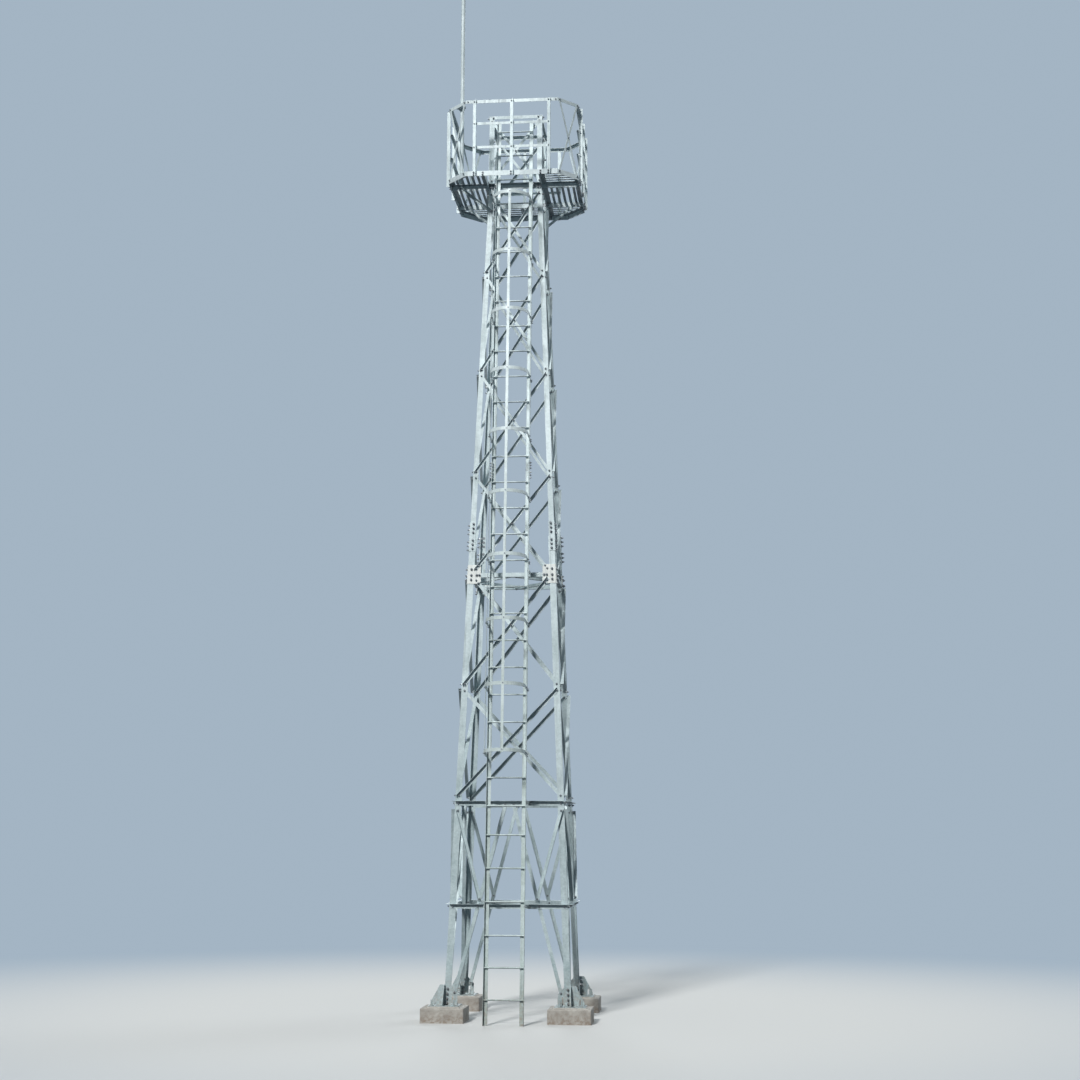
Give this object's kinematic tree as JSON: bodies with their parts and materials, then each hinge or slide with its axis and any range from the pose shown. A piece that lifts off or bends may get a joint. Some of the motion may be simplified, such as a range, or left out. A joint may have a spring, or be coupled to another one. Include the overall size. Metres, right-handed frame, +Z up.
{
  "type": "fire lookout tower",
  "caption": "Galvanised lattice lookout tower on concrete piers, with a caged outside ladder, an eight-sided railed walkway round its head and a slender mast.",
  "frame": {"origin": "middle of the underside of the front left pier, on the ground", "axes": "+X to the right seen from the front, the ladder's face looks towards -Y, +Z up; the tower's own axis stands at X 0.865 m, Y 0.865 m"},
  "size_m": [2.33, 2.9431, 16.2],
  "materials": {
    "galvanised": "satin",
    "ladder_steel": "satin",
    "deck_steel": "satin",
    "mast_steel": "satin",
    "concrete": "matte"
  },
  "bodies": {
    "root": {"piers": "concrete", "foot_plates": "galvanised", "lower_leg_front_left": "galvanised", "lower_leg_front_right": "galvanised", "lower_leg_back_right": "galvanised", "lower_leg_back_left": "galvanised", "upper_leg_front_left": "galvanised", "upper_leg_front_right": "galvanised", "upper_leg_back_right": "galvanised", "upper_leg_back_left": "galvanised", "leg_splices": "galvanised", "base_bracing_front": "galvanised", "base_bracing_right": "galvanised", "base_bracing_back": "galvanised", "base_bracing_left": "galvanised", "mid_bracing_front": "galvanised", "mid_bracing_right": "galvanised", "mid_bracing_back": "galvanised", "mid_bracing_left": "galvanised", "upper_bracing_front": "galvanised", "upper_bracing_right": "galvanised", "upper_bracing_back": "galvanised", "upper_bracing_left": "galvanised", "splice_diaphragm": "galvanised", "crown_posts": "galvanised", "crown_bracing": "galvanised", "ladder_lower": "ladder_steel", "ladder_upper": "ladder_steel", "ladder_brackets": "ladder_steel", "cage_hoops": "ladder_steel", "cage_bars": "ladder_steel", "platform_frame": "deck_steel", "floor_left": "deck_steel", "floor_right": "deck_steel", "floor_back": "deck_steel", "floor_front_corners": "deck_steel", "guard_front": "galvanised", "guard_right": "galvanised", "guard_back": "galvanised", "guard_left": "galvanised", "corner_guards": "galvanised", "knee_braces": "galvanised", "mast": "mast_steel", "mast_clamp": "mast_steel"}
  },
  "joints": []
}
